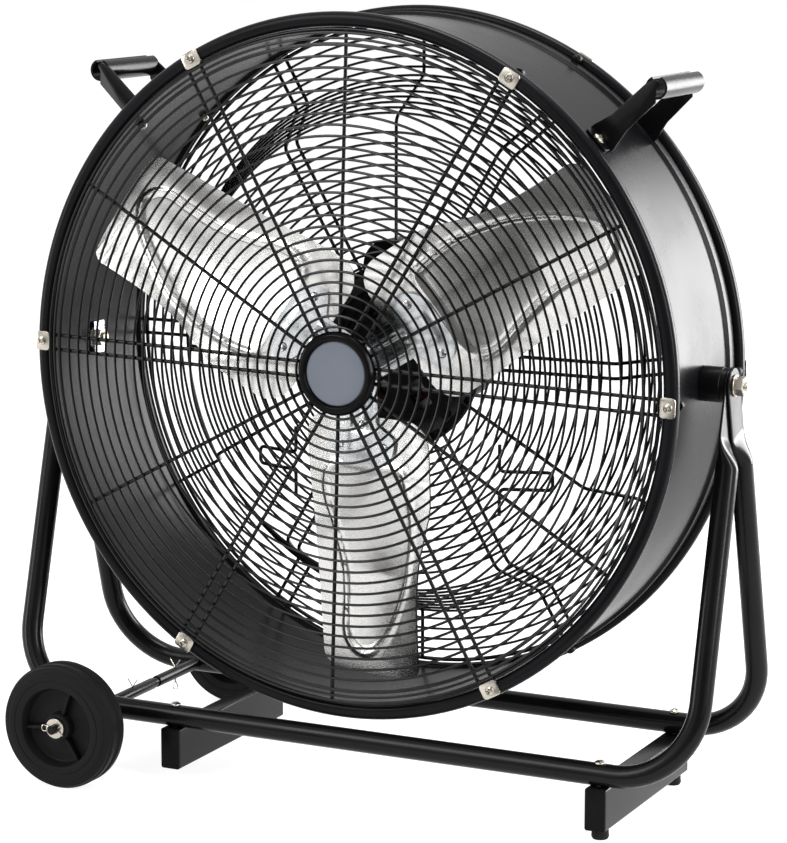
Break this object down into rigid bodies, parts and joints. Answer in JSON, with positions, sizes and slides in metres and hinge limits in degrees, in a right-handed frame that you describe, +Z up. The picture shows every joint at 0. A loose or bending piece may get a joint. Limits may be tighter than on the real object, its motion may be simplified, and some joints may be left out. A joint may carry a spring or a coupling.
{
  "type": "drum fan",
  "caption": "Wheeled drum fan: a round steel drum with wire grilles and riveted blades, tilting between two bent-tube frames.",
  "frame": {"origin": "on the floor, straight below the middle of the drum and of its tilting pivots", "axes": "+Z up, air blows out towards -Y, the wheels are at -X and the feet at +X"},
  "size_m": [0.7282, 0.3864, 0.739],
  "materials": {
    "drum_paint": "semi-gloss black powder coat",
    "frame_paint": "satin black powder coat",
    "grille_wire": "satin black powder coat on wire",
    "handle_paint": "satin black powder coat",
    "nickel_hardware": "bright nickel plate",
    "zinc_steel": "bluish zinc plate",
    "bright_shaft": "ground steel",
    "black_steel": "satin black",
    "blade_metal": "polished sheet",
    "motor_casing": "satin black",
    "black_plastic": "moulded, fine grain",
    "wheel_plastic": "hard moulded plastic",
    "badge_gloss": "glossy",
    "badge_slate": "satin, left bare",
    "foot_rubber": "matt"
  },
  "bodies": {
    "stand": {"front_stand_frame": "frame_paint", "rear_stand_frame": "frame_paint", "left_cross_member": "frame_paint", "right_cross_member": "frame_paint", "cross_member_caps": "black_plastic", "rubber_feet": "foot_rubber", "frame_screws": "nickel_hardware", "axle_rod": "black_steel", "front_axle_sleeve": "black_steel", "rear_axle_sleeve": "black_steel", "sleeve_pins": "nickel_hardware", "axle_washers": "nickel_hardware", "axle_split_pins": "nickel_hardware"},
    "drum": {"drum_shell": "drum_paint", "front_grille_frame": "grille_wire", "front_grille_rings": "grille_wire", "badge_ring": "badge_gloss", "badge_disc": "badge_slate", "front_grille_clips": "nickel_hardware", "rear_grille_clips": "nickel_hardware", "clip_screws": "nickel_hardware", "clip_screw_caps": "black_plastic", "rear_grille_frame": "grille_wire", "rear_grille_rings": "grille_wire", "cord_hooks": "grille_wire", "right_handle": "handle_paint", "left_handle": "handle_paint", "handle_screws": "nickel_hardware", "handle_nuts": "nickel_hardware", "pivot_spacers": "black_plastic", "pivot_inner_washers": "nickel_hardware", "pivot_straps": "zinc_steel", "pivot_bolts": "nickel_hardware", "pivot_outer_washers": "nickel_hardware", "pivot_nuts": "nickel_hardware", "motor_mounting_plate": "black_steel", "motor_plate_screws": "nickel_hardware", "motor_front_bell": "motor_casing", "motor_rear_bell": "motor_casing", "front_bearing": "nickel_hardware", "rear_bearing": "nickel_hardware", "motor_stator": "zinc_steel", "control_box": "black_plastic", "cable_gland": "black_plastic"},
    "rotor": {"fan_spider": "zinc_steel", "blade_rivets": "blade_metal", "fan_set_screw": "nickel_hardware", "motor_shaft": "bright_shaft", "motor_rotor_core": "zinc_steel", "fan_blade_1": "blade_metal", "fan_blade_2": "blade_metal", "fan_blade_3": "blade_metal"},
    "front_wheel": {"front_wheel": "wheel_plastic"},
    "rear_wheel": {"rear_wheel": "wheel_plastic"},
    "knob": {"speed_knob": "black_plastic"}
  },
  "joints": [
    {"name": "drum_tilt", "type": "hinge", "parent": "stand", "child": "drum", "pos_m": [0, 0, 0.409], "axis": [1, 0, 0], "range_deg": [-90, 90]},
    {"name": "fan_spin", "type": "hinge", "parent": "drum", "child": "rotor", "pos_m": [0, 0, 0.409], "axis": [0, 1, 0], "continuous": true},
    {"name": "front_wheel_spin", "type": "hinge", "parent": "stand", "child": "front_wheel", "pos_m": [-0.258, -0.169, 0.0605], "axis": [0, 1, 0], "continuous": true},
    {"name": "rear_wheel_spin", "type": "hinge", "parent": "stand", "child": "rear_wheel", "pos_m": [-0.258, 0.169, 0.0605], "axis": [0, 1, 0], "continuous": true},
    {"name": "knob_turn", "type": "hinge", "parent": "drum", "child": "knob", "pos_m": [0, 0.1213, 0.451], "axis": [0, -1, 0], "range_deg": [0, 135]}
  ]
}
